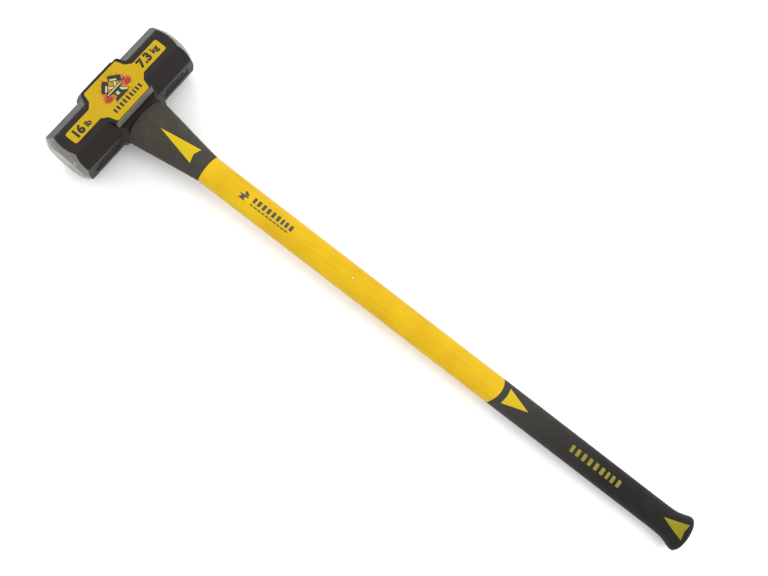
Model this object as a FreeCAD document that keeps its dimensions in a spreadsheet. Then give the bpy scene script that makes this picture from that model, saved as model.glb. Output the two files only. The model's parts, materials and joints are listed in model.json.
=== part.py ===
import FreeCAD, Part
import math
import os
import Sketcher

os.makedirs("parts", exist_ok=True)
doc = FreeCAD.newDocument("sledgehammer")

# Every driving size in millimetres. The hammer's own axes: +X from the head's
# middle towards the butt, +Y along the head, +Z out of the labelled cheek.
sheet = doc.addObject("Spreadsheet::Sheet", "Sizes")
row = 0
dashes = 6


def size(name, value):
    global row
    row += 1
    sheet.set(f"A{row}", name)
    sheet.set(f"B{row}", str(value))
    sheet.setAlias(f"B{row}", name)


# head forging
size("head_half_length", 101)
size("cheek_half_thick", 36)
size("edge_half_width", 33.2)
size("cheek_half_width", 16.6)
size("edge_half_height", 15.2)
size("facet_round", 3.5)
size("face_radius", 26.5)
size("face_bevel_depth", 9)
size("head_top", 42)
# drafted collar around the eye
size("collar_half_width", 45.5)
size("collar_half_thick", 24)
size("collar_flat_half", 30)
size("collar_slope_half", 34)
size("collar_slope_width", 43)
size("collar_root_half", 49)
size("collar_root_width", 32)
size("collar_draft", 23)
# raised boss that carries the label
size("boss_half_width", 31)
size("boss_flat_half", 31.5)
size("boss_slope_half", 35.5)
size("boss_slope_width", 26.5)
size("boss_root_half", 46)
size("boss_root_width", 16)
size("boss_draft", 4)
# eye, tapering in from both ends
size("eye_waist_half_width", 15.5)
size("eye_waist_half_thick", 12)
size("eye_mouth_half_width", 18.5)
size("eye_mouth_half_thick", 14.5)
size("eye_fill_recess", 1.5)
# shallow maker's panels in the edge facets
size("panel_start", 42)
size("panel_end", 86)
size("panel_half_height", 7)
size("panel_depth", 1)
size("panel_round", 2.5)
size("dash_margin", 5)
size("dash_half_height", 2.2)
size("dash_count", dashes)
# core, jacket and overmoulds
size("core_half_width", 12)
size("core_half_thick", 9)
size("core_before_butt", 6)
size("guard_start", 36)
size("guard_end", 137)
size("guard_shoulder", 2)
size("guard_mouth_half_width", 33.5)
size("guard_mouth_half_thick", 24)
size("jacket_head_half_width", 19)
size("jacket_head_half_thick", 15)
size("jacket_butt_half_width", 18.45)
size("jacket_butt_half_thick", 14.5)
size("overmould_thick", 2.4)
size("grip_length", 289)
size("tongue_reach", 5)
size("waist_before_butt", 35)
size("grip_waist_half_width", 17.9)
size("grip_waist_half_thick", 14.1)
size("flare_before_butt", 5.3)
size("flare_half_width", 23.9)
size("flare_half_thick", 18.8)
size("butt_end", 873)
size("butt_chamfer", 2.6)
# window arrows and the small core pin
size("arrow_raise", 0.25)
size("neck_arrow_gap", 18.5)
size("neck_arrow_length", 53.5)
size("neck_arrow_hollow", 3)
size("grip_arrow_gap", 13)
size("grip_arrow_length", 33)
size("grip_arrow_hollow", 1)
size("butt_arrow_gap", 7)
size("butt_arrow_length", 31)
size("butt_arrow_hollow", 2.5)
size("arrow_half_width", 10.8)
size("pin_station", 362)
size("pin_radius", 1.3)
size("pin_clearance", 0.25)
size("pin_sink", 0.4)
# label
size("label_thick", 0.25)
size("label_half_width", 26.4)
size("label_half_length", 28)
size("label_slope_width", 15)
size("label_slope_length", 31.5)
size("label_arm_start", 39)
size("label_arm_half_width", 8.8)
size("label_end", 81.2)
size("label_round", 3)
# derived sizes
size("core_end", "=butt_end - core_before_butt")
size("grip_start", "=butt_end - grip_length")
size("grip_waist", "=butt_end - waist_before_butt")
size("flare_top", "=butt_end - flare_before_butt")
size("neck_arrow_base", "=guard_end - neck_arrow_gap")
size("neck_arrow_tip", "=neck_arrow_base - neck_arrow_length")
size("neck_arrow_notch", "=neck_arrow_base - neck_arrow_hollow")
size("grip_arrow_base", "=grip_start + grip_arrow_gap")
size("grip_arrow_tip", "=grip_arrow_base + grip_arrow_length")
size("grip_arrow_notch", "=grip_arrow_base + grip_arrow_hollow")
size("butt_arrow_base", "=butt_end - butt_arrow_gap")
size("butt_arrow_tip", "=butt_arrow_base - butt_arrow_length")
size("butt_arrow_notch", "=butt_arrow_base - butt_arrow_hollow")
size("corner_radius", "=sqrt(cheek_half_width^2 + cheek_half_thick^2)")
size("trim_reach", "=collar_half_width * 2")
size("turn_reach", "=head_half_length * 1.2")
size("turn_outer", "=corner_radius + 2")
# the crowned bevel is part of a ball on the head's axis, through the face's rim and the corners
size("crown_rise", "=(corner_radius^2 - face_radius^2) / (2 * face_bevel_depth)")
size("crown_centre", "=head_half_length - face_bevel_depth / 2 - crown_rise")
size("crown_radius", "=sqrt((head_half_length - crown_centre)^2 + face_radius^2)")
size("bevel_back", "=crown_centre + sqrt(crown_radius^2 - turn_outer^2)")
for block in ("collar", "boss"):
    size(f"{block}_waist_in", f"={block}_slope_width - {block}_root_width")
    size(f"{block}_waist_long", f"={block}_root_half - {block}_slope_half")
    size(f"{block}_round", f"=({block}_waist_in^2 + {block}_waist_long^2) / (2 * {block}_waist_in)")
size("boss_cheek_width", "=boss_half_width - cheek_half_thick * tan(boss_draft * 1deg)")
size("jacket_neck_half_width", "=jacket_head_half_width - overmould_thick")
size("jacket_neck_half_thick", "=jacket_head_half_thick - overmould_thick")
size("jacket_tail_half_width", "=grip_waist_half_width - overmould_thick")
size("jacket_tail_half_thick", "=grip_waist_half_thick - overmould_thick")
size("dash_pitch", "=(panel_end - panel_start - 2 * dash_margin) / dash_count")
for dash in range(dashes):
    size(f"dash_{dash}_from", f"=panel_start + dash_margin + {dash} * dash_pitch")
    size(f"dash_{dash}_upto", f"=dash_{dash}_from + 0.62 * dash_pitch")
size("eye_mouth", "=head_top + 1")
size("fill_top", "=-(head_top - eye_fill_recess)")
size("guard_body", "=guard_start + guard_shoulder")
size("guard_shoulder_half_width", "=guard_mouth_half_width - 0.6 * guard_shoulder")
size("guard_shoulder_half_thick", "=guard_mouth_half_thick - 0.6 * guard_shoulder")
for name, at, share in (("guard_a", 0.28, 0.73), ("guard_b", 0.61, 0.38)):
    size(f"{name}_at", f"=guard_body + {at} * (guard_end - guard_body)")
    for way in ("half_width", "half_thick"):
        size(f"{name}_{way}",
             f"=jacket_head_{way} + {share} * (guard_mouth_{way} - jacket_head_{way})")
for name, at, share in (("flare_a", 0.38, 0.11), ("flare_b", 0.62, 0.38), ("flare_c", 0.84, 0.78)):
    size(f"{name}_at", f"=grip_waist + {at} * (flare_top - grip_waist)")
    for way in ("half_width", "half_thick"):
        size(f"{name}_{way}",
             f"=grip_waist_{way} + {share} * (flare_{way} - grip_waist_{way})")
size("lip_at", "=butt_end - butt_chamfer")
for way in ("half_width", "half_thick"):
    size(f"lip_{way}", f"=flare_{way} - 0.35")
    size(f"butt_{way}", f"=flare_{way} - 0.35 - 1.2 * butt_chamfer")
size("jacket_end", "=core_end")
size("tongue_round", "=(jacket_butt_half_width^2 + tongue_reach^2) / (2 * tongue_reach)")
size("tongue_centre", "=grip_start + tongue_reach - tongue_round")
size("tongue_low", "=-cheek_half_thick")
size("tongue_height", "=2 * cheek_half_thick")
size("pin_bore", "=pin_radius + pin_clearance")
size("pin_top", "=(jacket_head_half_thick + jacket_butt_half_thick) / 2 - pin_sink")
size("label_top", "=cheek_half_thick + label_thick")
size("rest_tilt", "=atan((cheek_half_thick - flare_half_thick)"
     " / (flare_top - boss_cheek_width)) / 1deg")
size("rest_lift", "=boss_cheek_width * sin(rest_tilt * 1deg)"
     " + cheek_half_thick * cos(rest_tilt * 1deg)")
size("rest_shift", "=(head_top - butt_end) * cos(rest_tilt * 1deg) / 2")
doc.recompute()


def value(name):
    if name == "0":
        return 0.0
    if name.startswith("-"):
        return -value(name[1:])
    got = sheet.get(name)
    return float(getattr(got, "Value", got))


def formula(name):
    if name == "0":
        return "0"
    if name.startswith("-"):
        return "-Sizes." + name[1:]
    return "Sizes." + name


def bind(target, prop, name, unit="1mm"):
    target.setExpression(prop, f"({formula(name)}) * {unit}" if unit else formula(name))


def lay_to_rest(part, label):
    # one placement for every piece: the hammer lies on its plain cheek and its butt
    part.Label = label
    part.Placement = FreeCAD.Placement(
        FreeCAD.Vector(value("rest_shift"), 0, value("rest_lift")),
        FreeCAD.Rotation(FreeCAD.Vector(0, 1, 0), value("rest_tilt")))
    part.setExpression("Placement.Base.x", "Sizes.rest_shift * 1mm")
    part.setExpression("Placement.Base.z", "Sizes.rest_lift * 1mm")
    part.setExpression("Placement.Rotation.Angle", "Sizes.rest_tilt * 1deg")
    return part


def outline(sketch, corners):
    # closed outline; each corner is (x, y) or (x, y, radius of the hollow arc that leaves it)
    count = len(corners)
    spots = [FreeCAD.Vector(value(c[0]), value(c[1]), 0) for c in corners]
    first = sketch.GeometryCount
    ends = []
    for i, corner in enumerate(corners):
        a = spots[i]
        b = spots[(i + 1) % count]
        if len(corner) == 2:
            sketch.addGeometry(Part.LineSegment(a, b), False)
            ends.append((1, 2))
            continue
        radius = value(corner[2])
        half = (b - a) * 0.5
        rise = math.sqrt(max(radius ** 2 - half.Length ** 2, 0))
        side = FreeCAD.Vector(half.y, -half.x, 0).normalize()
        centre = a + half + side * rise
        start = math.atan2(b.y - centre.y, b.x - centre.x)
        stop = math.atan2(a.y - centre.y, a.x - centre.x)
        circle = Part.Circle(centre, FreeCAD.Vector(0, 0, 1), radius)
        sketch.addGeometry(Part.ArcOfCircle(circle, start, stop), False)
        ends.append((2, 1))
    for i, corner in enumerate(corners):
        here = first + i
        after = first + (i + 1) % count
        sketch.addConstraint(Sketcher.Constraint(
            "Coincident", here, ends[i][1], after, ends[(i + 1) % count][0]))
        for kind, name, spot in (("DistanceX", corner[0], spots[i].x),
                                 ("DistanceY", corner[1], spots[i].y)):
            index = sketch.addConstraint(Sketcher.Constraint(
                kind, -1, 1, here, ends[i][0], spot))
            if name != "0":
                bind(sketch, f"Constraints[{index}]", name)
        if len(corner) == 3:
            index = sketch.addConstraint(Sketcher.Constraint(
                "Radius", here, value(corner[2])))
            bind(sketch, f"Constraints[{index}]", corner[2])


def origin_plane(body, role):
    return [f for f in body.Origin.OriginFeatures if f.Role == role][0]


def body_sketch(body, name, role):
    sketch = body.newObject("Sketcher::SketchObject", name)
    sketch.AttachmentSupport = [(origin_plane(body, role), "")]
    sketch.MapMode = "FlatFace"
    doc.recompute()
    return sketch


def boss_outline(sketch, kind):
    # plan of a block that narrows through hollow waists on both sides of the eye
    wide, flat = f"{kind}_half_width", f"{kind}_flat_half"
    knee, knee_at = f"{kind}_slope_width", f"{kind}_slope_half"
    root, root_at = f"{kind}_root_width", f"{kind}_root_half"
    arc = f"{kind}_round"
    outline(sketch, [
        (wide, "-" + flat), (wide, flat),
        (knee, knee_at, arc), (root, root_at),
        ("-" + root, root_at, arc), ("-" + knee, knee_at),
        ("-" + wide, flat), ("-" + wide, "-" + flat),
        ("-" + knee, "-" + knee_at, arc), ("-" + root, "-" + root_at),
        (root, "-" + root_at, arc), (knee, "-" + knee_at)])


# ---------------------------------------------------------------- head forging
head = doc.addObject("PartDesign::Body", "Head")

# octagonal bar along the head
bar_section = body_sketch(head, "BarSection", "XZ_Plane")
outline(bar_section, [
    ("edge_half_width", "-edge_half_height"), ("edge_half_width", "edge_half_height"),
    ("cheek_half_width", "cheek_half_thick"), ("-cheek_half_width", "cheek_half_thick"),
    ("-edge_half_width", "edge_half_height"), ("-edge_half_width", "-edge_half_height"),
    ("-cheek_half_width", "-cheek_half_thick"), ("cheek_half_width", "-cheek_half_thick")])
bar = head.newObject("PartDesign::Pad", "Bar")
bar.Profile = bar_section
bar.SideType = "Symmetric"
bar.setExpression("Length", "2 * Sizes.head_half_length * 1mm")
doc.recompute()

# rounded long edges of the octagon
long_edges = [f"Edge{n + 1}" for n, e in enumerate(bar.Shape.Edges)
              if abs(e.tangentAt(e.FirstParameter).y) > 0.99]
rounded = head.newObject("PartDesign::Fillet", "RoundedBar")
rounded.Base = (bar, long_edges)
rounded.Radius = value("facet_round")
bind(rounded, "Radius", "facet_round")
doc.recompute()


def drafted_pad(name, profile, half_thick, draft):
    pad = head.newObject("PartDesign::Pad", name)
    pad.Profile = profile
    pad.SideType = "Two sides"
    bind(pad, "Length", half_thick)
    bind(pad, "Length2", half_thick)
    pad.setExpression("TaperAngle", f"-Sizes.{draft} * 1deg")
    pad.setExpression("TaperAngle2", f"-Sizes.{draft} * 1deg")
    doc.recompute()
    return pad


# eye collar and label boss, both with die draft from the parting line
collar_plan = body_sketch(head, "CollarPlan", "XY_Plane")
boss_outline(collar_plan, "collar")
collar = drafted_pad("Collar", collar_plan, "collar_half_thick", "collar_draft")
boss_plan = body_sketch(head, "BossPlan", "XY_Plane")
boss_outline(boss_plan, "boss")
boss = drafted_pad("Boss", boss_plan, "cheek_half_thick", "boss_draft")

# collar faces trimmed flat where the handle enters and leaves
trim_plan = body_sketch(head, "TrimPlan", "XY_Plane")
for sign in ("", "-"):
    outline(trim_plan, [
        (sign + "head_top", "-trim_reach"), (sign + "trim_reach", "-trim_reach"),
        (sign + "trim_reach", "trim_reach"), (sign + "head_top", "trim_reach")])
trim = head.newObject("PartDesign::Pocket", "Trim")
trim.Profile = trim_plan
trim.SideType = "Symmetric"
trim.setExpression("Length", "4 * Sizes.cheek_half_thick * 1mm")
doc.recompute()

# crowned bevel turned on each end, down to the flat striking face
turning = body_sketch(head, "Turning", "YZ_Plane")
outline(turning, [
    ("head_half_length", "face_radius"), ("turn_reach", "face_radius"),
    ("turn_reach", "turn_outer"), ("bevel_back", "turn_outer", "crown_radius")])
outline(turning, [
    ("-head_half_length", "face_radius", "crown_radius"), ("-bevel_back", "turn_outer"),
    ("-turn_reach", "turn_outer"), ("-turn_reach", "face_radius")])
ends = head.newObject("PartDesign::Groove", "TurnedEnds")
ends.Profile = turning
ends.ReferenceAxis = (turning, ["H_Axis"])
ends.Angle = 360
doc.recompute()

# maker's panels sunk in both edge facets, each with a row of plain raised dashes
faces_out = ends
for side, turn in (("near", 0), ("far", 180)):
    panel = head.newObject("Sketcher::SketchObject", "Panel_" + side)
    panel.AttachmentSupport = [(origin_plane(head, "YZ_Plane"), "")]
    panel.MapMode = "FlatFace"
    panel.AttachmentOffset = FreeCAD.Placement(
        FreeCAD.Vector(0, 0, value("edge_half_width") * (1 if turn == 0 else -1)),
        FreeCAD.Rotation(FreeCAD.Vector(0, 1, 0), turn))
    sign = "" if turn == 0 else "-"
    panel.setExpression("AttachmentOffset.Base.z", f"{sign}Sizes.edge_half_width * 1mm")
    doc.recompute()
    for end in ("", "-"):
        outline(panel, [
            (end + "panel_start", "-panel_half_height"), (end + "panel_end", "-panel_half_height"),
            (end + "panel_end", "panel_half_height"), (end + "panel_start", "panel_half_height")])
        for dash in range(dashes):
            a, b = end + f"dash_{dash}_from", end + f"dash_{dash}_upto"
            outline(panel, [(a, "-dash_half_height"), (b, "-dash_half_height"),
                            (b, "dash_half_height"), (a, "dash_half_height")])
    sink = head.newObject("PartDesign::Pocket", "Sink_" + side)
    sink.Profile = panel
    bind(sink, "Length", "panel_depth")
    doc.recompute()
    corners = []
    for n, edge in enumerate(sink.Shape.Edges):
        if len(edge.Vertexes) != 2 or abs(edge.Length - value("panel_depth")) > 0.01:
            continue
        spot = edge.CenterOfMass
        outward = spot.x if turn == 0 else -spot.x
        if abs(abs(spot.z) - value("panel_half_height")) < 0.01 and outward > 0:
            corners.append(f"Edge{n + 1}")
    faces_out = head.newObject("PartDesign::Fillet", "SinkRound_" + side)
    faces_out.Base = (sink, corners)
    faces_out.Radius = value("panel_round")
    bind(faces_out, "Radius", "panel_round")
    doc.recompute()


# ---------------------------------------------------------- shared handle shapes
along_x = FreeCAD.Rotation(FreeCAD.Vector(1, 1, 1), 120)


def ring(name, station, wide, thick, grow="0"):
    # oval section across the handle, wide along Y and thick along Z
    oval = doc.addObject("Part::Ellipse", name)
    oval.Placement = FreeCAD.Placement(FreeCAD.Vector(value(station), 0, 0), along_x)
    oval.MajorRadius = value(wide) + value(grow)
    oval.MinorRadius = value(thick) + value(grow)
    bind(oval, "Placement.Base.x", station)
    oval.setExpression("MajorRadius", f"({formula(wide)} + {formula(grow)}) * 1mm")
    oval.setExpression("MinorRadius", f"({formula(thick)} + {formula(grow)}) * 1mm")
    return oval


def loft(name, rings, straight=True):
    body = doc.addObject("Part::Loft", name)
    body.Sections = rings
    body.Solid = True
    body.Ruled = straight
    return body


def fuse(name, shapes):
    joined = doc.addObject("Part::MultiFuse", name)
    joined.Shapes = shapes
    return joined


def cut(name, base, tool):
    left = doc.addObject("Part::Cut", name)
    left.Base = base
    left.Tool = tool
    return left


def common(name, base, tool):
    shared = doc.addObject("Part::Common", name)
    shared.Base = base
    shared.Tool = tool
    return shared


def guard_shape(tag, grow="0"):
    def stage(name, station, section):
        return ring(tag + name, station, section + "_half_width", section + "_half_thick", grow)

    shoulder = loft(tag + "Shoulder", [
        stage("Mouth", "guard_start", "guard_shoulder"),
        stage("Rim", "guard_body", "guard_mouth")])
    sleeve = loft(tag + "Sleeve", [
        stage("Wide", "guard_body", "guard_mouth"), stage("Mid", "guard_a_at", "guard_a"),
        stage("Slim", "guard_b_at", "guard_b"), stage("End", "guard_end", "jacket_head")], False)
    return fuse(tag + "Whole", [shoulder, sleeve])


def grip_shape(tag, grow="0"):
    def stage(name, station, section):
        return ring(tag + name, station, section + "_half_width", section + "_half_thick", grow)

    barrel = loft(tag + "Barrel", [
        stage("Start", "grip_start", "jacket_butt"), stage("Waist", "grip_waist", "grip_waist")])
    flare = loft(tag + "Flare", [
        stage("Low", "grip_waist", "grip_waist"), stage("FlareA", "flare_a_at", "flare_a"),
        stage("FlareB", "flare_b_at", "flare_b"), stage("FlareC", "flare_c_at", "flare_c"),
        stage("Top", "flare_top", "flare")], False)
    cap = loft(tag + "Cap", [
        stage("CapTop", "flare_top", "flare"), stage("Lip", "lip_at", "lip"),
        stage("Butt", "butt_end", "butt")])
    return fuse(tag + "Whole", [barrel, flare, cap])


def arrow(name, tip, base, notch, upward):
    # long pointed tool standing through one side of an overmould
    flat = doc.addObject("Sketcher::SketchObject", name + "Plan")
    doc.recompute()
    order = [(base, "arrow_half_width"), (tip, "0"), (base, "-arrow_half_width"), (notch, "0")]
    outline(flat, order)
    block = doc.addObject("Part::Extrusion", name + "Block")
    block.Base = flat
    block.DirMode = "Custom"
    block.Dir = FreeCAD.Vector(0, 0, 1 if upward else -1)
    block.Solid = True
    bind(block, "LengthFwd", "cheek_half_thick")
    return block


# ------------------------------------------------------------------- the eye
eye = fuse("Eye", [
    loft("EyeTop", [
        ring("EyeTopMouth", "-eye_mouth", "eye_mouth_half_width", "eye_mouth_half_thick"),
        ring("EyeTopWaist", "0", "eye_waist_half_width", "eye_waist_half_thick")]),
    loft("EyeLow", [
        ring("EyeLowWaist", "0", "eye_waist_half_width", "eye_waist_half_thick"),
        ring("EyeLowMouth", "eye_mouth", "eye_mouth_half_width", "eye_mouth_half_thick")])])
pieces = []
pieces.append(lay_to_rest(cut("HeadWithEye", head, eye), "head_forging"))

# ----------------------------------------------------------------- core and resin
def core_shape(tag):
    return loft(tag, [
        ring(tag + "Top", "fill_top", "core_half_width", "core_half_thick"),
        ring(tag + "Tail", "core_end", "core_half_width", "core_half_thick")])


core = core_shape("CoreBore")
pieces.append(lay_to_rest(core_shape("CoreRod"), "core_rod"))
fill_slab = loft("FillSlab", [
    ring("FillTop", "fill_top", "collar_half_width", "collar_half_width"),
    ring("FillLow", "head_top", "collar_half_width", "collar_half_width")])
fill_in_eye = common("FillInEye", eye, fill_slab)
fill = cut("Fill", common("FillInHead", fill_in_eye, head), core)
pieces.append(lay_to_rest(fill, "eye_resin"))

# ------------------------------------------------------------------- jacket
neck_seat = loft("NeckSeat", [
    ring("NeckSeatHead", "head_top", "jacket_neck_half_width", "jacket_neck_half_thick"),
    ring("NeckSeatEnd", "guard_end", "jacket_neck_half_width", "jacket_neck_half_thick")])
open_length = loft("OpenLength", [
    ring("OpenHead", "guard_end", "jacket_head_half_width", "jacket_head_half_thick"),
    ring("OpenButt", "grip_start", "jacket_butt_half_width", "jacket_butt_half_thick")])
tail_seat = loft("TailSeat", [
    ring("TailHead", "grip_start", "jacket_tail_half_width", "jacket_tail_half_thick"),
    ring("TailEnd", "jacket_end", "jacket_tail_half_width", "jacket_tail_half_thick")])
# the jacket ends in a rounded tongue on both faces, which the grip is moulded around
tongue_drum = doc.addObject("Part::Cylinder", "TongueDrum")
bind(tongue_drum, "Radius", "tongue_round")
bind(tongue_drum, "Height", "tongue_height")
bind(tongue_drum, "Placement.Base.x", "tongue_centre")
bind(tongue_drum, "Placement.Base.z", "tongue_low")
grip_whole = grip_shape("Grip")
tongue = common("Tongue", grip_whole, tongue_drum)
jacket_solid = fuse("JacketSolid", [neck_seat, open_length, tail_seat, tongue])
pin_bore = doc.addObject("Part::Cylinder", "PinBore")
bind(pin_bore, "Radius", "pin_bore")
bind(pin_bore, "Height", "cheek_half_thick")
bind(pin_bore, "Placement.Base.x", "pin_station")
jacket = cut("Jacket", cut("JacketBored", jacket_solid, core), pin_bore)
pieces.append(lay_to_rest(jacket, "shaft_jacket"))

pin_rod = doc.addObject("Part::Cylinder", "PinRod")
bind(pin_rod, "Radius", "pin_radius")
bind(pin_rod, "Height", "pin_top")
bind(pin_rod, "Placement.Base.x", "pin_station")
pieces.append(lay_to_rest(cut("Pin", pin_rod, core), "core_pin"))

# ------------------------------------------------------- overmoulds and arrows
guard_whole = guard_shape("Guard")
guard_tube = cut("GuardTube", cut("GuardHollow", guard_whole, neck_seat), core)
guard = cut("GuardFitted", guard_tube, head)
grip_hollow = cut("GripHollow", cut("GripBehindTongue", grip_whole, tongue_drum), tail_seat)
grip = cut("GripTube", grip_hollow, core)
guard_proud = cut("GuardProud", guard_shape("GuardProud", "arrow_raise"), neck_seat)
grip_raised = cut("GripProudHollow", grip_shape("GripProud", "arrow_raise"), tail_seat)
grip_proud = cut("GripProud", grip_raised, core)
for face, upward in (("front", True), ("back", False)):
    neck = arrow("NeckArrow_" + face, "neck_arrow_tip", "neck_arrow_base", "neck_arrow_notch", upward)
    hand = arrow("HandArrow_" + face, "grip_arrow_tip", "grip_arrow_base", "grip_arrow_notch", upward)
    butt = arrow("ButtArrow_" + face, "butt_arrow_tip", "butt_arrow_base", "butt_arrow_notch", upward)
    guard = cut("GuardWindow_" + face, guard, neck)
    grip = cut("GripWindow_" + face, cut("GripWindowHand_" + face, grip, hand), butt)
    for block, skin, label in ((neck, guard_proud, "neck_arrow_"),
                               (hand, grip_proud, "grip_arrow_"),
                               (butt, grip_proud, "butt_arrow_")):
        island = common("Island_" + label + face, skin, block)
        pieces.append(lay_to_rest(island, label + face))
pieces.append(lay_to_rest(guard, "neck_guard"))
pieces.append(lay_to_rest(grip, "grip"))

# --------------------------------------------------------------------- label
label_body = doc.addObject("PartDesign::Body", "Label")
label_plan = body_sketch(label_body, "LabelPlan", "XY_Plane")
label_plan.AttachmentOffset = FreeCAD.Placement(
    FreeCAD.Vector(0, 0, value("cheek_half_thick")), FreeCAD.Rotation())
label_plan.setExpression("AttachmentOffset.Base.z", "Sizes.cheek_half_thick * 1mm")
outline(label_plan, [
    ("label_half_width", "-label_half_length"), ("label_half_width", "label_half_length"),
    ("label_slope_width", "label_slope_length"), ("label_arm_half_width", "label_arm_start"),
    ("label_arm_half_width", "label_end"), ("-label_arm_half_width", "label_end"),
    ("-label_arm_half_width", "label_arm_start"), ("-label_slope_width", "label_slope_length"),
    ("-label_half_width", "label_half_length"), ("-label_half_width", "-label_half_length"),
    ("-label_slope_width", "-label_slope_length"), ("-label_arm_half_width", "-label_arm_start"),
    ("-label_arm_half_width", "-label_end"), ("label_arm_half_width", "-label_end"),
    ("label_arm_half_width", "-label_arm_start"), ("label_slope_width", "-label_slope_length")])
film = label_body.newObject("PartDesign::Pad", "Film")
film.Profile = label_plan
bind(film, "Length", "label_thick")
doc.recompute()
turns = [f"Edge{n + 1}" for n, e in enumerate(film.Shape.Edges)
         if abs(e.Length - value("label_thick")) < 0.001]
trimmed = label_body.newObject("PartDesign::Fillet", "TrimmedCorners")
trimmed.Base = (film, turns)
trimmed.Radius = value("label_round")
bind(trimmed, "Radius", "label_round")
doc.recompute()
pieces.append(lay_to_rest(label_body, "head_label"))

# -------------------------------------------------------------- check and write
doc.recompute()
for thing in doc.Objects:
    if "Invalid" in thing.State or "Error" in thing.State:
        raise RuntimeError(thing.Name + " did not rebuild")
for piece in pieces:
    shape = piece.Shape
    if shape.isNull() or not shape.isValid() or not shape.Solids:
        raise RuntimeError(piece.Label + " is not a sound solid")
for piece in pieces:
    piece.Shape.exportStep(f"parts/{piece.Label}.step")
    box = piece.Shape.optimalBoundingBox()
    print(piece.Label, len(piece.Shape.Solids), round(piece.Shape.Volume / 1000, 2), "cm3",
          [round(v, 2) for v in (box.XMin, box.YMin, box.ZMin, box.XMax, box.YMax, box.ZMax)])
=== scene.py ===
# %% [markdown]
# # A sledgehammer, dressed for its portrait
# The hammer arrives as fourteen CAD pieces: a forged head, a fibreglass core held in the
# eye with resin, a moulded yellow jacket, two dark rubber overmoulds with yellow arrows
# showing through them, a small pin and a printed label. Their shapes are right already,
# so this lesson gives each one its finish, adds the thin printed marks, and sets up the
# floor, the lamps and the camera.

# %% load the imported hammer
import json
import math

import bmesh
import bpy
from mathutils import Matrix, Vector
from mathutils.bvhtree import BVHTree


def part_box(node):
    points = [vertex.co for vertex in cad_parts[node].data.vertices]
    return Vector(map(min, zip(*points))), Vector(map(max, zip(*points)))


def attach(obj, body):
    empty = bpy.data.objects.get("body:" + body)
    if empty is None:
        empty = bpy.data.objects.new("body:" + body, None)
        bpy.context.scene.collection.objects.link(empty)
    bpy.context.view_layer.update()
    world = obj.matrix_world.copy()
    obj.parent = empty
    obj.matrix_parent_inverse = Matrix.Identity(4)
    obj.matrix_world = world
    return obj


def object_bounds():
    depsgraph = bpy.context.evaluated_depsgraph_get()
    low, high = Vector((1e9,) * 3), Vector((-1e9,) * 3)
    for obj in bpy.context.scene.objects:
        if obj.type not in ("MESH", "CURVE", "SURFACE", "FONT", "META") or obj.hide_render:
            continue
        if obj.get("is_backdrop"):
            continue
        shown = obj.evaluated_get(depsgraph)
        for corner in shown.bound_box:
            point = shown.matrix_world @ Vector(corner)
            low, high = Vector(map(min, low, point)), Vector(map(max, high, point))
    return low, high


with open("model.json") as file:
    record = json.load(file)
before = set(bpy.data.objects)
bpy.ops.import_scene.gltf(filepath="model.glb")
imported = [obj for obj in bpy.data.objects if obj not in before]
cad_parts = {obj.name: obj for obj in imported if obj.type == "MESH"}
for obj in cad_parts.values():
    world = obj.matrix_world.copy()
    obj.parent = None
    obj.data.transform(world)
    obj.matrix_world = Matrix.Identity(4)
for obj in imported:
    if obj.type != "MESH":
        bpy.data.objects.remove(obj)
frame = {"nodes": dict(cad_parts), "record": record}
cad_low, cad_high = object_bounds()
pieces = frame["nodes"]
MM = 0.001
print("hammer pieces:", ", ".join(sorted(pieces)))
print("overall size in mm:", [round(v / MM, 1) for v in cad_high - cad_low])

# %% [markdown]
# ## The hammer's own directions
# The hammer lies on its plain cheek and its butt, so the handle slopes by about one
# degree. Marks are easier to place along the handle itself than along the room's axes, so
# three directions are taken from the mounts in the record: `along` runs from the head to
# the butt, `across` runs from one striking face to the other, and `up` leaves the
# labelled cheek. `hammer_space` then turns a place on the hammer into a place in the room.

# %% measure the hammer's directions from its mounts
mounts = {mount["name"]: mount for mount in frame["record"]["mounts"]}
left_face = Vector(mounts["striking_face_left"]["pos_m"])
right_face = Vector(mounts["striking_face_right"]["pos_m"])
head_middle = (left_face + right_face) / 2
head_half = (right_face - left_face).length / 2
up = -Vector(mounts["plain_cheek"]["axis"]).normalized()
across = (right_face - left_face).normalized()
along = across.cross(up).normalized()
hammer_space = Matrix.Translation(head_middle) @ Matrix((along, across, up)).transposed().to_4x4()
lean = hammer_space.to_euler()
print("head middle:", [round(v, 4) for v in head_middle], "lean:", round(math.degrees(lean.y), 3))

# %% [markdown]
# ## A small kit for mixing finishes
# Every finish below is a Principled shader fed by a few procedural textures. Typing out
# each node and link would hide the recipe, so `Finish` keeps one material and offers
# short calls for the steps that repeat: a noise of a given grain size in millimetres, a
# ramp, a blend of two colours, a bump. All textures read Object coordinates, which are
# the room's metres here, so a grain of 0.3 mm is 0.3 mm on every piece.

# %% define the finish kit
grip_from, grip_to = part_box("grip")[0].x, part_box("grip")[1].x      # along the room's X


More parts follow.
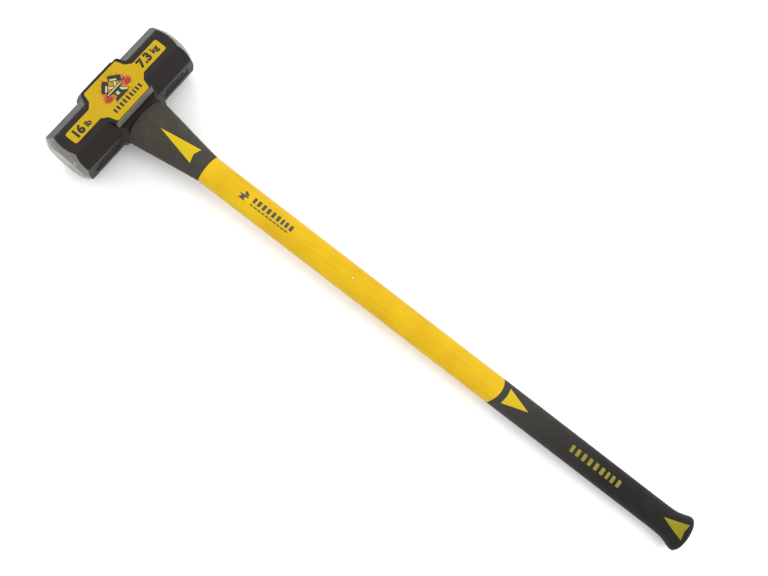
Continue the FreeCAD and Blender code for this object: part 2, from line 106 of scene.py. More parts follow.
class Finish:
    """One material, with short calls for the nodes that its recipe needs."""

    def __init__(self, name, colour, roughness, **more):
        self.material = bpy.data.materials.new(name)
        self.material.use_nodes = True
        self.nodes = self.material.node_tree.nodes
        self.links = self.material.node_tree.links
        self.shader = self.nodes["Principled BSDF"]
        self.set("Base Color", (*colour, 1))
        self.set("Roughness", roughness)
        for socket, number in more.items():
            self.set(socket.replace("_", " "), number)
        self.here = self.add("ShaderNodeTexCoord").outputs["Object"]

    def set(self, socket, source):
        self.feed(self.shader.inputs[socket], source)

    def feed(self, socket, source):
        if isinstance(source, bpy.types.NodeSocket):
            self.links.new(source, socket)
        else:
            socket.default_value = source

    def add(self, kind, **settings):
        node = self.nodes.new(kind)
        for key, setting in settings.items():
            setattr(node, key, setting)
        return node

    def math(self, operation, a, b=0.0):
        node = self.add("ShaderNodeMath", operation=operation)
        self.feed(node.inputs[0], a)
        self.feed(node.inputs[1], b)
        return node.outputs[0]

    def stretch(self, scale):
        node = self.add("ShaderNodeMapping", vector_type="POINT")
        self.feed(node.inputs["Vector"], self.here)
        node.inputs["Scale"].default_value = scale
        return node.outputs[0]

    def noise(self, grain, detail, at=None, rough=0.5, bend=0.0):
        node = self.add("ShaderNodeTexNoise")
        self.feed(node.inputs["Vector"], at or self.here)
        node.inputs["Scale"].default_value = 1 / (grain * MM)
        node.inputs["Detail"].default_value = detail
        node.inputs["Roughness"].default_value = rough
        node.inputs["Distortion"].default_value = bend
        return node.outputs["Fac"]

    def span(self, source, low, high, to_low=0.0, to_high=1.0, smooth=False):
        node = self.add("ShaderNodeMapRange", clamp=True)
        node.interpolation_type = "SMOOTHSTEP" if smooth else "LINEAR"
        for socket, number in zip(("Value", "From Min", "From Max", "To Min", "To Max"),
                                  (source, low, high, to_low, to_high)):
            self.feed(node.inputs[socket], number)
        return node.outputs["Result"]

    def blend(self, share, first, second):
        node = self.add("ShaderNodeMix", data_type="RGBA")
        self.feed(node.inputs["Factor"], share)
        for socket, colour in ((node.inputs[6], first), (node.inputs[7], second)):
            self.feed(socket, (*colour, 1) if isinstance(colour, tuple) else colour)
        return node.outputs[2]

    def paint_shade_to_butt(self, colour, butt_shade, full_at):
        """Painted shade towards the butt: blends into the darker colour from the grip's start,
        fully there at full_at.
        """
        parts = self.add("ShaderNodeSeparateXYZ")
        self.feed(parts.inputs[0], self.here)
        return self.blend(self.span(parts.outputs["X"], grip_from, full_at), colour, butt_shade)

    def bump(self, height, depth, under=None):
        node = self.add("ShaderNodeBump")
        node.inputs["Strength"].default_value = 1.0
        node.inputs["Distance"].default_value = depth * MM
        self.feed(node.inputs["Height"], height)
        if under is not None:
            self.feed(node.inputs["Normal"], under)
        return node.outputs[0]

    def own_place(self):
        """A point in the hammer's own space, in metres: as a vector, and as its parts."""
        turn = self.add("ShaderNodeMapping", vector_type="TEXTURE")
        self.feed(turn.inputs["Vector"], self.here)
        turn.inputs["Location"].default_value = head_middle
        turn.inputs["Rotation"].default_value = lean
        parts = self.add("ShaderNodeSeparateXYZ")
        self.feed(parts.inputs[0], turn.outputs[0])
        return turn.outputs[0], parts.outputs

    def wear(self, *names):
        for name in names:
            slots = pieces[name].data.materials
            slots.clear()
            slots.append(self.material)
        print(self.material.name, "->", ", ".join(names))


# %% [markdown]
# ## The head: satin paint over a forging, ground bare at both ends
# A forged head is dipped in dark paint, and then its two striking ends are ground on a
# turning fixture, which leaves a bright crowned bevel and face with fine rings. Both
# finishes are on one solid, so one material carries them with a mask between. The mask
# follows the CAD shape: each bevel is part of a ball centred on the head's axis, so a
# point is ground if it lies on that ball or on the flat face. A little noise keeps the
# line of paint from looking cut with a knife. The boss's wall beside the handle carries a
# painted sheen: paler paint that stands in for light caught on that wall.

# %% measure the ball that the bevels belong to
FACE_RADIUS = 26.5 * MM                # where the flat face meets the bevel
CORNER_RADIUS = 39.64 * MM             # out to the octagon's corners
BEVEL_DEPTH = 9 * MM
ball_middle = (head_half - BEVEL_DEPTH / 2
               - (CORNER_RADIUS ** 2 - FACE_RADIUS ** 2) / (2 * BEVEL_DEPTH))
ball_radius = math.hypot(head_half - ball_middle, FACE_RADIUS)
print("bevel ball radius in mm:", round(ball_radius / MM, 1))

# %% find the ground ends and the boss wall's painted sheen
END_REACH = 15 * MM                    # ground steel fades out just past this depth
WALL_FROM, WALL_TO = 26.6 * MM, 33.5 * MM      # how far along the handle the wall is
WALL_FOOT = 24.4 * MM                  # where the wall meets the collar
WALL_REACH = 46 * MM                   # how far the wall runs towards each face
WALL_FADE = 14 * MM                    # the last part of it, where the painted sheen fades
RAGGED = 0.7 * MM                      # how unevenly the paint's edge runs

head = Finish("head_paint", (0.016, 0.0145, 0.012), 0.4, Specular_IOR_Level=0.22)
turned, (side, reach, rise) = head.own_place()
out_along_head = head.math("ABSOLUTE", reach)
from_ball = head.add("ShaderNodeCombineXYZ")
head.feed(from_ball.inputs["X"], side)
head.feed(from_ball.inputs["Y"], head.math("SUBTRACT", out_along_head, ball_middle))
head.feed(from_ball.inputs["Z"], rise)
length = head.add("ShaderNodeVectorMath", operation="LENGTH")
head.feed(length.inputs[0], from_ball.outputs[0])
past_ball = head.math("SUBTRACT", length.outputs["Value"], ball_radius)
past_face = head.math("SUBTRACT", out_along_head, head_half)
ragged = head.math("MULTIPLY", head.math("SUBTRACT", head.noise(1.6, 4), 0.5), RAGGED)
past = head.math("ADD", head.math("MAXIMUM", past_ball, past_face), ragged)
on_end = head.span(out_along_head, head_half - END_REACH - 1 * MM, head_half - END_REACH)
ground = head.math("MULTIPLY", head.span(past, -0.5 * MM, -0.3 * MM), on_end)

# painted sheen: marks the boss wall beside the handle, where paler paint stands in for light
# caught there
wall_sheen_mask = head.math("MULTIPLY", head.span(side, WALL_FROM, WALL_FROM + 1.6 * MM),
                    head.span(side, WALL_TO, WALL_TO + 1 * MM, 1.0, 0.0))
wall_sheen_mask = head.math("MULTIPLY", wall_sheen_mask,
                    head.span(head.math("ABSOLUTE", rise), WALL_FOOT, WALL_FOOT + 2 * MM))
wall_sheen_mask = head.math("MULTIPLY", wall_sheen_mask,
                    head.span(out_along_head, WALL_REACH - WALL_FADE, WALL_REACH, 1.0, 0.0))

# %% mix the head's paint and ground steel
RING_SCALE = 260
EDGE_RADIUS = 0.9 * MM                 # softens the forging's edges in the shading only

broad = head.noise(22, 3, rough=0.6)
peel = head.noise(1.1, 3)
grain = head.noise(0.28, 2)
rubbed = head.span(head.noise(9, 6, rough=0.7, bend=0.6), 0.6, 0.78)
paint = head.blend(broad, (0.0045, 0.0026, 0.0019), (0.0091, 0.0064, 0.0049))
paint = head.blend(head.math("MULTIPLY", rubbed, 0.3), paint, (0.031, 0.03, 0.0245))
# painted sheen on the boss wall: the paint turns paler there, unevenly, in place of caught light
uneven = head.span(head.noise(5, 5, rough=0.65), 0.3, 0.6, 0.75, 1.0)
pale = head.math("MULTIPLY", wall_sheen_mask, uneven)
paint = head.blend(pale, paint, (0.135, 0.132, 0.1))
rings = head.add("ShaderNodeTexWave", wave_type="RINGS", rings_direction="Y")
head.feed(rings.inputs["Vector"], turned)
rings.inputs["Scale"].default_value = RING_SCALE
rings.inputs["Distortion"].default_value = 0.35
rings.inputs["Detail"].default_value = 2
rings.inputs["Detail Scale"].default_value = 0.4
smudge = head.noise(6, 4, rough=0.65, bend=1.0)
# partly polish and scuffs, partly painted glint: bright patches on the ground steel stand in for
# light streaks on the bevels
polish_and_glint = head.span(head.noise(15, 2, bend=1.2), 0.56, 0.72, smooth=True)
steel = head.blend(smudge, (0.12, 0.118, 0.105), (0.23, 0.228, 0.21))
steel = head.blend(head.math("MULTIPLY", rings.outputs["Fac"], 0.35), steel, (0.075, 0.074, 0.068))
steel = head.blend(head.math("MULTIPLY", polish_and_glint, 0.45), steel, (0.48, 0.47, 0.435))
head.set("Base Color", head.blend(ground, paint, steel))
head.set("Metallic", ground)
gloss = head.add("ShaderNodeMix", data_type="FLOAT")
head.feed(gloss.inputs["Factor"], ground)
head.feed(gloss.inputs[2], head.span(broad, 0.3, 0.7, 0.34, 0.46))
head.feed(gloss.inputs[3], head.span(smudge, 0.3, 0.7, 0.2, 0.36))
head.set("Roughness", gloss.outputs[0])
soft_edges = head.add("ShaderNodeBevel", samples=4)
soft_edges.inputs["Radius"].default_value = EDGE_RADIUS
painted = head.math("SUBTRACT", 1.0, ground)
skin = head.math("ADD", head.math("MULTIPLY", peel, 0.6), head.math("MULTIPLY", grain, 0.25))
skin = head.math("ADD", skin, head.math("MULTIPLY", broad, 3.0))
skin = head.math("MULTIPLY", skin, painted)
ring_height = head.math("MULTIPLY", head.math("MULTIPLY", rings.outputs["Fac"], ground), 0.08)
head.set("Normal", head.bump(head.math("ADD", skin, ring_height), 0.11,
                             under=soft_edges.outputs[0]))
head.wear("head_forging")

# %% [markdown]
# ## The jacket: yellow plastic with flow lines and scuffs
# The jacket is moulded round the core in one long shot, so its colour streams a little
# along the handle and the surface has a soft, satin skin. Stretching a noise along the
# handle gives the streaming; two fine noises give the skin and the small scuffs that a
# hammer collects in a rack. The jacket turns a little darker and greyer round the pin. The
# arrows are the same plastic seen through the rubber, a little greener because their layer
# is thin. Towards the butt they carry painted shade: a duller colour standing in for the
# light that falls off there.

# %% mix the yellow plastics
PIN_RING_FROM, PIN_RING_TO = 1.8 * MM, 4.0 * MM        # from the pin's middle
pin_low, pin_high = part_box("core_pin")
pin_top = Vector(((pin_low.x + pin_high.x) / 2, (pin_low.y + pin_high.y) / 2, pin_high.z))


def yellow_plastic(name, deep, bright, worn, butt_shade=None):
    """Satin yellow: streaming colour along the handle, fine skin, light scuffs."""
    plastic = Finish(name, bright, 0.38, Specular_IOR_Level=0.15)
    stream = plastic.noise(3.0, 4, at=plastic.stretch((0.06, 1, 1)), rough=0.6)
    clouds = plastic.noise(38, 2)
    tone = plastic.math("ADD", plastic.math("MULTIPLY", stream, 0.5),
                        plastic.math("MULTIPLY", clouds, 0.5))
    colour = plastic.blend(plastic.span(tone, 0.35, 0.65), deep, bright)
    # painted shade: darker towards the butt, standing in for the light falling off there
    if butt_shade:
        colour = plastic.paint_shade_to_butt(colour, butt_shade, grip_to)
    scratches = plastic.noise(5, 8, at=plastic.stretch((0.35, 1, 1)), rough=0.72)
    scuff = plastic.math("MULTIPLY", plastic.span(scratches, 0.62, 0.7), worn)
    plastic.set("Base Color", plastic.blend(scuff, colour, (0.315, 0.215, 0.022)))
    plastic.set("Roughness", plastic.math("ADD", plastic.span(clouds, 0.3, 0.7, 0.32, 0.42),
                                          plastic.math("MULTIPLY", scuff, 0.3)))
    skin = plastic.math("ADD", plastic.math("MULTIPLY", plastic.noise(0.45, 2), 0.5),
                        plastic.math("MULTIPLY", stream, 0.8))
    plastic.set("Normal", plastic.bump(skin, 0.035))
    return plastic


jacket = yellow_plastic("jacket_yellow", (0.47, 0.275, 0.001), (0.54, 0.35, 0.0015), 0.3)
from_pin = jacket.add("ShaderNodeVectorMath", operation="DISTANCE")
jacket.feed(from_pin.inputs[0], jacket.here)
from_pin.inputs[1].default_value = pin_top
# a darker, greyer ring on the jacket round the pin
pin_ring_share = jacket.span(from_pin.outputs["Value"], PIN_RING_FROM, PIN_RING_TO, 0.7, 0.0)
clean = jacket.shader.inputs["Base Color"].links[0].from_socket
jacket.set("Base Color", jacket.blend(pin_ring_share, clean, (0.435, 0.27, 0.019)))
jacket.wear("shaft_jacket")
# the arrows' last colour is painted shade, for the light falling off towards the butt
arrows = yellow_plastic("arrow_yellow", (0.45, 0.315, 0.0025), (0.485, 0.35, 0.0035), 0.2,
                        butt_shade=(0.17, 0.148, 0.0025))
arrows.wear(*[name for name in pieces if "arrow" in name])

# %% [markdown]
# ## The rubber: fine-grained overmoulds
# The neck guard and the grip are soft rubber, shot over the jacket in an eroded tool.
# Such a tool leaves tight pits, so a cell texture about 0.5 mm wide gives the grain, and
# a slow noise makes some patches a little greyer, where hands and dust have been. The
# grip is painted darker over its first 60%, a painted shade for the light falling off
# towards the butt. Rubber scatters light at its edges, which the shader's sheen gives.

# %% mix the rubber
SHADE_SHARE = 0.6                       # of the grip's length
grip_shade_from = grip_from + SHADE_SHARE * (grip_to - grip_from)


def rubber(name, dark, pale, grain, butt_shade=None):
    """Matte rubber: pitted grain, patchy dust, soft sheen at the edges."""
    mould = Finish(name, dark, 0.72, Specular_IOR_Level=0.22, Sheen_Weight=0.06,
                   Sheen_Roughness=0.45)
    mould.set("Sheen Tint", (0.75, 0.73, 0.66, 1))
    cells = mould.add("ShaderNodeTexVoronoi", feature="F1")
    cells.inputs["Scale"].default_value = 1 / (grain * MM)
    mould.feed(cells.inputs["Vector"], mould.here)
    dust = mould.noise(14, 6, rough=0.68)
    speck = mould.noise(0.5, 3, rough=0.7)
    colour = mould.blend(mould.span(dust, 0.35, 0.7), dark, pale)
    colour = mould.blend(mould.span(speck, 0.55, 0.8, 0.0, 0.5), colour,
                         tuple(1.7 * c for c in pale))
    # painted shade: the grip darkens towards the butt, standing in for the light falling off there
    if butt_shade:
        colour = mould.paint_shade_to_butt(colour, butt_shade, grip_shade_from)
    mould.set("Base Color", colour)
    mould.set("Roughness", mould.span(dust, 0.3, 0.7, 0.62, 0.8))
    pits = mould.math("ADD", mould.math("MULTIPLY", cells.outputs["Distance"], 0.7),
                      mould.math("MULTIPLY", speck, 0.5))
    mould.set("Normal", mould.bump(pits, 0.12))
    return mould


rubber("guard_rubber", (0.024, 0.0215, 0.0145), (0.041, 0.037, 0.0265), 0.55).wear("neck_guard")
# the grip's last colour is painted shade towards the butt
rubber("grip_rubber", (0.022, 0.0202, 0.017), (0.0385, 0.0355, 0.0295), 0.55,
       butt_shade=(0.0045, 0.004, 0.0035)).wear("grip")

# %% [markdown]
# ## The label: printed golden film
# The label is thin vinyl, golden yellow, with a burst of orange rays behind its picture.
# The rays belong to the film's own print, so they are made in its material: the angle
# round the burst's centre is folded into spokes, and both the spokes and their colour
# fade with distance. The picture itself has crisp edges, and comes later as thin pieces.

# %% mix the label film
BURST_AT = (-3 * MM, 2 * MM)          # centre of the burst, along and across the hammer
BURST_SPOKES = 17

film = Finish("label_film", (0.38, 0.25, 0.0015), 0.42, Specular_IOR_Level=0.14)
_, (side, reach, _) = film.own_place()
burst_x = film.math("SUBTRACT", side, BURST_AT[0])
burst_y = film.math("SUBTRACT", reach, BURST_AT[1])
angle = film.math("ARCTAN2", burst_y, burst_x)
wobble = film.math("MULTIPLY", film.noise(9, 2), 3.0)
folded = film.math("ADD", film.math("MULTIPLY", angle, BURST_SPOKES), wobble)
spokes = film.span(film.math("SINE", folded), 0.1, 0.5)
away = film.math("SQRT", film.math("ADD", film.math("MULTIPLY", burst_x, burst_x),
                                   film.math("MULTIPLY", burst_y, burst_y)))
fade = film.span(away, 8 * MM, 27 * MM, 1.0, 0.0, smooth=True)
glow = film.span(away, 4 * MM, 20 * MM, 0.6, 0.0, smooth=True)
tone = film.noise(18, 3)
gold = film.blend(tone, (0.355, 0.225, 0.001), (0.395, 0.265, 0.0015))
gold = film.blend(glow, gold, (0.39, 0.155, 0.0015))
gold = film.blend(film.math("MULTIPLY", spokes, film.math("MULTIPLY", fade, 0.8)), gold,
                  (0.25, 0.078, 0.0025))
rub = film.span(film.noise(4, 7, rough=0.7), 0.64, 0.72, 0.0, 0.3)
film.set("Base Color", film.blend(rub, gold, (0.225, 0.155, 0.022)))
film.set("Roughness", film.span(tone, 0.3, 0.7, 0.36, 0.5))
film.set("Normal", film.bump(film.noise(2.2, 3), 0.02))
film.wear("head_label")

# %% [markdown]
# ## Core, resin and pin
# Glass fibres run the length of the core, so a noise squeezed along the handle draws
# them. The resin round it is cast dark epoxy, pocked with small bubbles. The pin is steel
# with yellow plating, so its end is nearly the colour of the jacket. All three are small,
# and seen close they still have to read as what they are.

# %% mix the core, resin and pin
core = Finish("core_fibreglass", (0.39, 0.375, 0.285), 0.5)
fibres = core.noise(0.9, 5, at=core.stretch((0.04, 1, 1)), rough=0.7)
core.set("Base Color", core.blend(fibres, (0.295, 0.27, 0.19), (0.52, 0.505, 0.41)))
core.set("Roughness", core.span(fibres, 0.3, 0.7, 0.4, 0.62))
core.set("Normal", core.bump(fibres, 0.06))
core.wear("core_rod")

resin = Finish("eye_resin", (0.026, 0.0235, 0.019), 0.22, Coat_Weight=0.4, Coat_Roughness=0.12)
bubbles = resin.add("ShaderNodeTexVoronoi", feature="F1")
bubbles.inputs["Scale"].default_value = 1 / (2.4 * MM)
resin.feed(bubbles.inputs["Vector"], resin.here)
pocks = resin.span(bubbles.outputs["Distance"], 0.0, 0.22)
cloud = resin.noise(5, 4)
resin.set("Base Color", resin.blend(cloud, (0.019, 0.0175, 0.014), (0.0435, 0.039, 0.031)))
resin.set("Roughness", resin.span(cloud, 0.3, 0.7, 0.16, 0.34))
resin.set("Normal", resin.bump(resin.math("ADD", pocks, resin.math("MULTIPLY", cloud, 1.5)), 0.12))
resin.wear("eye_resin")

pin = Finish("pin_steel", (0.82, 0.68, 0.16), 0.28, Metallic=1.0)
turning = pin.noise(0.35, 3)
pin.set("Base Color", pin.blend(turning, (0.78, 0.63, 0.13), (0.86, 0.74, 0.21)))
pin.set("Roughness", pin.span(turning, 0.3, 0.7, 0.2, 0.38))
pin.set("Normal", pin.bump(turning, 0.03))
pin.wear("core_pin")

# %% [markdown]
# ## Printing the marks
# The marks are ink on top of the moulded surfaces, so each is made flat first, as art on
# a table, and then laid over the hammer. `lay_print` cuts the flat art into narrow
# strips, so that it can bend round the handle, pulls it up into a thin plate, and drops
# every point straight down onto the piece below. The plate's top stands at most a tenth
# of a millimetre proud and its underside is buried, so that no light leaks under it.

# %% define the inks and the printing helpers
def ink(name, colour, roughness=0.5):
    """Printed ink: nearly flat colour, thin in places, with a faint tooth."""
    printed = Finish(name, colour, roughness, Specular_IOR_Level=0.3)
    thin = printed.noise(0.9, 4, rough=0.7)
    printed.set("Base Color", printed.blend(printed.span(thin, 0.5, 0.85, 0.0, 0.5),
                                            colour, tuple(c * 1.25 + 0.02 for c in colour)))
    printed.set("Roughness", printed.span(thin, 0.3, 0.7, roughness - 0.06, roughness + 0.1))
    printed.set("Normal", printed.bump(thin, 0.02))
    return printed.material


black_ink = ink("black_ink", (0.007, 0.0065, 0.0061))
cream_ink = ink("cream_ink", (0.37, 0.345, 0.14))
orange_ink = ink("orange_ink", (0.435, 0.074, 0.0052))
ember_ink = ink("ember_ink", (0.225, 0.024, 0.0045))
grey_ink = ink("grey_ink", (0.0435, 0.0435, 0.0315))
lime_ink = ink("lime_ink", (0.174, 0.152, 0.007), 0.6)

INK_PROUD = 0.06 * MM                  # on the label
INK_PROUD_ON_HANDLE = 0.1 * MM
INK_BURIED = 0.12 * MM
HANDLE_STRIP = 2.0                     # mm of art between two cuts
LABEL_STRIP = 60                       # wider than any mark there: a flat label needs no cut
DROP_HEIGHT = 0.2                      # metres above the hammer's middle, where rays start


def surface_under(name):
    """A ray-casting copy of one CAD piece."""
    mesh = pieces[name].data
    return BVHTree.FromPolygons([v.co for v in mesh.vertices],
                                [tuple(p.vertices) for p in mesh.polygons])


under = {name: surface_under(name) for name in ("head_label", "shaft_jacket", "grip")}


def lay_print(name, art, on, place, material, strip, proud):
    """Bends flat art round a piece. place takes the art's millimetres to hammer space."""
    bmesh.ops.triangulate(art, faces=art.faces[:])
    for axis in (Vector((1, 0, 0)), Vector((0, 1, 0))):
        marks = [v.co.dot(axis) for v in art.verts]
        cuts = math.ceil((max(marks) - min(marks)) / strip)
        for step in range(1, cuts):
            bmesh.ops.bisect_plane(art, geom=art.verts[:] + art.edges[:] + art.faces[:],
                                   plane_co=axis * (min(marks) + step * strip), plane_no=axis)
    raised = bmesh.ops.extrude_face_region(art, geom=art.faces[:])["geom"]
    tops = {v for v in raised if isinstance(v, bmesh.types.BMVert)}
    to_room = hammer_space @ place @ Matrix.Scale(MM, 4)
    for vert in art.verts:
        spot = to_room @ Vector((vert.co.x, vert.co.y, 0))
        hit = under[on].ray_cast(spot + up * DROP_HEIGHT, -up)[0]
        vert.co = hit + up * (proud if vert in tops else -INK_BURIED)
    bmesh.ops.recalc_face_normals(art, faces=art.faces[:])
    mesh = bpy.data.meshes.new(name)
    art.to_mesh(mesh)
    art.free()
    mesh.materials.append(material)
    mark = bpy.data.objects.new(name, mesh)
    bpy.context.scene.collection.objects.link(mark)
    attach(mark, "root")
    print(name, len(mesh.polygons), "faces")


def print_on_label(name, art, across_mm, along_mm, material, proud=INK_PROUD):
    """The label reads with the right striking face to its right and the poll upwards."""
    place = (Matrix.Translation((along_mm * MM, across_mm * MM, 0))
             @ Matrix.Rotation(math.radians(90), 4, "Z"))
    lay_print(name, art, "head_label", place, material, LABEL_STRIP, proud)


def print_on_handle(name, art, along_mm, across_mm, on, material):
    """Marks on the handle read from the head towards the butt."""
    place = Matrix.Translation((along_mm * MM, across_mm * MM, 0))
    lay_print(name, art, on, place, material, HANDLE_STRIP, INK_PROUD_ON_HANDLE)


# %% [markdown]
# ## The weight marks
# The label gives the head's weight at its two ends, in pounds and in kilograms: big bold
# figures with a small unit. Blender's own font is plain, so the figures are thickened by
# growing their outline before they are turned into a mesh.

# %% print the weights
CAPITAL_SHARE = 0.7                    # of the font's size that a capital fills


def figures(text, height, thicken, squeeze):
    """Flat text as a bmesh, centred, with capitals of the given height in millimetres."""
    curve = bpy.data.curves.new(text, "FONT")
    curve.body = text
    curve.align_x = "CENTER"
    curve.align_y = "CENTER"
    curve.size = height / CAPITAL_SHARE
    curve.offset = thicken
    curve.resolution_u = 4
    letters = bpy.data.objects.new(text, curve)
    art = bmesh.new()
    art.from_mesh(letters.to_mesh())
    letters.to_mesh_clear()
    bpy.data.objects.remove(letters)
    bpy.data.curves.remove(curve)
    bmesh.ops.remove_doubles(art, verts=art.verts[:], dist=0.001)
    bmesh.ops.scale(art, vec=(squeeze, 1, 1), verts=art.verts[:])
    return art


for name, text, height, thicken, squeeze, across_mm, along_mm in (
        ("mark_16", "16", 10.8, 0.75, 1.05, -67.8, 0.6),
        ("mark_lb", "lb", 7.0, 0.42, 1.1, -52.6, 1.8),
        ("mark_7.3", "7.3", 10.8, 0.75, 1.08, 51.6, -0.6),
        ("mark_kg", "kg", 7.4, 0.42, 1.05, 70.0, -1.0)):
    print_on_label(name, figures(text, height, thicken, squeeze), across_mm, along_mm, black_ink)

# %% [markdown]
# ## The picture on the label
# The middle of the label carries a plain pictogram of a smithy: two crossed hammers over
# an anvil, with flames to either side. Each shape is a flat cut-out made from the few
# corners it needs, and corners that should be soft are rounded with a vertex bevel. The
# shapes lie on each other, so each stands a little further out than the one it covers.

# %% print the anvil, hammers and flames
CROSSING = (40, -40)                   # degrees that the two hammers lean
CROSSING_SHIFT = (0, -1.5)
ANVIL_SHIFT = (-2, -4)
PICTURE_ACROSS, PICTURE_ALONG = 2, -4.2


def cutout(corners, soften=0.0):
    """A flat shape from its corners, in millimetres, with softened corners if asked."""
    art = bmesh.new()
    verts = [art.verts.new((x, y, 0)) for x, y in corners]
    art.faces.new(verts)
    if soften:
        bmesh.ops.bevel(art, geom=verts, offset=soften, offset_type="OFFSET", segments=3,
                        profile=0.5, affect="VERTICES", material=-1)
    return art


def placed(art, turn=0.0, shift=(0, 0), scale=1.0):
    """Turns, scales and shifts a flat shape on the table."""
    matrix = (Matrix.Translation((*shift, 0)) @ Matrix.Rotation(math.radians(turn), 4, "Z")
              @ Matrix.Scale(scale, 4))
    bmesh.ops.transform(art, matrix=matrix, verts=art.verts[:])
    return art


def joined(arts):
    """Several flat shapes as one piece of art."""
    together = bmesh.new()
    for art in arts:
        mesh = bpy.data.meshes.new("flat")
        art.to_mesh(mesh)
        art.free()
        together.from_mesh(mesh)
        bpy.data.meshes.remove(mesh)
    return together


def anvil():
    return cutout([(-13, 5), (-13, 2), (-5, -0.5), (-5, -5), (-10, -8), (-10, -10),
                   (10, -10), (10, -8), (5, -5), (5, -0.5), (11, 1.2), (20, 5)])


def hammer_head():
    return cutout([(-8, 9), (8, 9), (8, 17), (-8, 17)], soften=1.6)


def head_shine():
    return cutout([(-6.2, 10.2), (2.5, 10.2), (2.5, 12.4), (-6.2, 12.4)])


def hammer_handle(grown=0.0):
    return cutout([(-1.5 - grown, -14 - grown), (1.5 + grown, -14 - grown),
                   (1.5 + grown, 9), (-1.5 - grown, 9)])


def flames(side, grown=0.0):
    """A ragged block of fire at one side of the anvil."""
    shape = cutout([(9, -9), (19, -9), (22 + grown, -6), (21, 1 + grown), (18.5, -1),
                    (17.5, 7 + grown), (15, 1), (12.5, 5 + grown), (11.5, -1), (8, -3)])
    if side < 0:
        bmesh.ops.scale(shape, vec=(-1, 1, 1), verts=shape.verts[:])
        bmesh.ops.reverse_faces(shape, faces=shape.faces[:])
    return shape


def pair(make, *grown):
    """Two of the same shape, crossed."""
    return joined([placed(make(*grown), turn, CROSSING_SHIFT) for turn in CROSSING])


embers = [placed(flames(side), scale=0.72, shift=(side * 5.2, -2.6)) for side in (-1, 1)]
anvil_shine = cutout([(-11.5, 3.9), (-11.5, 2.4), (10, 2.4), (15, 3.9)])
anvil_foot = cutout([(-3, -1), (-3, -5.4), (1, -5.4), (1, -1)])
for name, art, material, proud_mm in (
        ("picture_flames", joined([flames(-1, 1.0), flames(1, 1.0)]), orange_ink, 0.02),
        ("picture_embers", joined(embers), ember_ink, 0.03),
        ("picture_handle_lines", pair(hammer_handle, 0.8), black_ink, 0.035),
        ("picture_handles", pair(hammer_handle), cream_ink, 0.045),
        ("picture_hammer_heads", pair(hammer_head), black_ink, 0.055),
        ("picture_head_shine", pair(head_shine), cream_ink, 0.065),
        ("picture_anvil", placed(anvil(), shift=ANVIL_SHIFT), black_ink, 0.065),
        ("picture_anvil_shine", placed(anvil_shine, shift=ANVIL_SHIFT), cream_ink, 0.075),
        ("picture_anvil_foot", placed(anvil_foot, shift=ANVIL_SHIFT), cream_ink, 0.075)):
    print_on_label(name, art, PICTURE_ACROSS, PICTURE_ALONG, material, proud_mm * MM)

# %% [markdown]
# ## Plain bars where a maker's word would be
# The label, the jacket and the grip each carry a printed word. It says nothing about how
# a hammer works, so a row of upright bars of letter width stands for it: the print keeps
# its weight and rhythm, and nobody's name. One helper makes all three rows. The fine line
# under the row on the jacket is made of the same bars laid flat, and the small emblem in
# front of it reuses the anvil and the hammer from the label.

# %% print the rows of bars
BAR_RHYTHM = (0.9, 1.0, 1.0, 1.0, 1.0, 1.0, 0.8, 0.9, 1.0)
BAR_ROUND = 0.18                       # corner radius, as a share of the thinner side
DASHES, DASH_PITCH = 10, 5.85
EMBLEM_SCALE = 0.42


def bar(width, height, at):
    return placed(cutout([(-width / 2, -height / 2), (width / 2, -height / 2),
                          (width / 2, height / 2), (-width / 2, height / 2)],
                         soften=min(width, height) * BAR_ROUND), shift=(at, 0))


def bar_row(length, height, gap_share):
    """Upright bars, as wide as bold letters, filling the given length."""
    pitch = length / sum(BAR_RHYTHM)
    start, bars = -length / 2, []
    for share in BAR_RHYTHM:
        width = pitch * share
        bars.append(bar(width * (1 - gap_share), height, start + width / 2))
        start += width
    return joined(bars)


fine_line = joined([bar(4.6, 1.5, -26.4 + DASH_PITCH * dash) for dash in range(DASHES)])
small_anvil = placed(anvil(), shift=(-1, -1), scale=EMBLEM_SCALE)
small_hammer = joined([placed(make(), -35, (-2, -2.5), EMBLEM_SCALE)
                       for make in (hammer_head, hammer_handle)])
print_on_label("label_bars", bar_row(49, 6.2, 0.5), 1.5, 16.2, black_ink)
for name, art, along_mm, across_mm in (
        ("jacket_bars", bar_row(62.8, 7.6, 0.42), 238.1, 1.5),
        ("jacket_fine_line", fine_line, 236.2, -5.7),
        ("jacket_emblem_anvil", small_anvil, 196, -1.6),
        ("jacket_emblem_hammer", small_hammer, 196, 0.5)):
    print_on_handle(name, art, along_mm, across_mm, "shaft_jacket", grey_ink)
print_on_handle("grip_bars", bar_row(77.7, 9.4, 0.48), 733.6, -1.8, "grip", lime_ink)

# %% [markdown]
# ## The floor
# A plain pale sheet, large enough for any view. Its material is nearly white and matte,
# with a very faint mottling so that it isn't a perfect void.

# %% lay the floor
FLOOR_HALF = 4.0                       # metres from the middle to each edge

floor_art = bmesh.new()
bmesh.ops.create_grid(floor_art, x_segments=1, y_segments=1, size=FLOOR_HALF)
floor_mesh = bpy.data.meshes.new("floor")
floor_art.to_mesh(floor_mesh)
floor_art.free()
floor = bpy.data.objects.new("floor", floor_mesh)
floor.location.z = cad_low.z
bpy.context.scene.collection.objects.link(floor)
paper = Finish("floor_paper", (0.86, 0.86, 0.86), 0.9)
paper.set("Base Color", paper.blend(paper.noise(60, 2), (0.855, 0.855, 0.855),
                                    (0.87, 0.87, 0.87)))
floor_mesh.materials.append(paper.material)
floor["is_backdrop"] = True
print("floor", 2 * FLOOR_HALF, "m wide")

# %% [markdown]
# ## Light
# The hammer is lit like a catalogue tool: an even glow from all round, so that shadows
# all but vanish, and a large lamp low on the poll side, which draws the pale sheen along
# the head's upper bevels and the glint on the ground steel. Two weaker lamps, one on the
# far side and one past the butt, shade the handle a little. None hangs straight overhead,
# because the flat cheek would mirror it and turn grey.

# %% set the lamps and the glow
GLOW_STRENGTH = 1.38
centre = (cad_low + cad_high) / 2


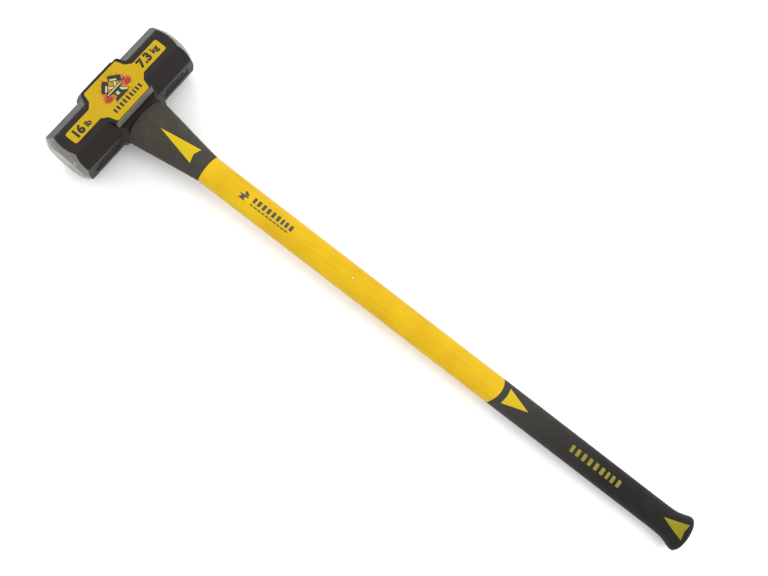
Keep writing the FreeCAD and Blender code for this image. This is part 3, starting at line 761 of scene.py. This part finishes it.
def soft_lamp(name, place, width, height, watts):
    """A white rectangular soft box, aimed at the hammer's middle."""
    lamp_data = bpy.data.lights.new(name, "AREA")
    lamp_data.shape = "RECTANGLE"
    lamp_data.size = width
    lamp_data.size_y = height
    lamp_data.energy = watts
    lamp = bpy.data.objects.new(name, lamp_data)
    lamp.location = place
    lamp.rotation_euler = (centre - lamp.location).to_track_quat("-Z", "Y").to_euler()
    bpy.context.scene.collection.objects.link(lamp)
    print(name, [round(v, 2) for v in lamp.location], watts, "W")


soft_lamp("poll_side_lamp", centre + Vector((-2.1, 0.7, 1.25)), 2.2, 1.4, 22)
soft_lamp("far_side_lamp", centre + Vector((0.9, 2.2, 1.5)), 2.2, 1.4, 5)
soft_lamp("butt_side_lamp", centre + Vector((1.2, 0.5, 2.2)), 1.2, 1.2, 13)

glow = bpy.data.worlds.new("studio_glow")
glow.use_nodes = True
background = glow.node_tree.nodes["Background"]
background.inputs["Color"].default_value = (1, 1, 1, 1)
background.inputs["Strength"].default_value = GLOW_STRENGTH
bpy.context.scene.world = glow
bpy.context.scene.view_settings.view_transform = "Standard"

# %% [markdown]
# ## The camera
# The viewer stands over the hammer, a little on the near side, with the poll towards the
# upper left. A normal lens, about a metre away, takes in the whole hammer.

# %% place the camera
CAMERA_OFFSET = Vector((0.0324, -0.2321, 1.0261))      # from the hammer's middle
CAMERA_TURN = (12.376524, -6.113449, 36.938240)        # degrees about X, Y and Z
SENSOR_MM, LENS_MM = 36, 40.3308

eye = bpy.data.cameras.new("camera")
eye.sensor_width = SENSOR_MM
eye.lens = LENS_MM
eye.dof.use_dof = False
camera = bpy.data.objects.new("camera", eye)
camera.location = centre + CAMERA_OFFSET
camera.rotation_euler = [math.radians(angle) for angle in CAMERA_TURN]
bpy.context.scene.collection.objects.link(camera)
bpy.context.scene.camera = camera
print("camera at", [round(v, 4) for v in camera.location])

# %% [markdown]
# ## Last measure
# The box of the finished picture is measured against the CAD hammer's, and how much it
# grew is printed.

# %% compare the sizes and finish
new_low, new_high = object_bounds()
growth = (new_high - new_low) - (cad_high - cad_low)
print("grown by, mm:", [round(v / MM, 3) for v in growth])
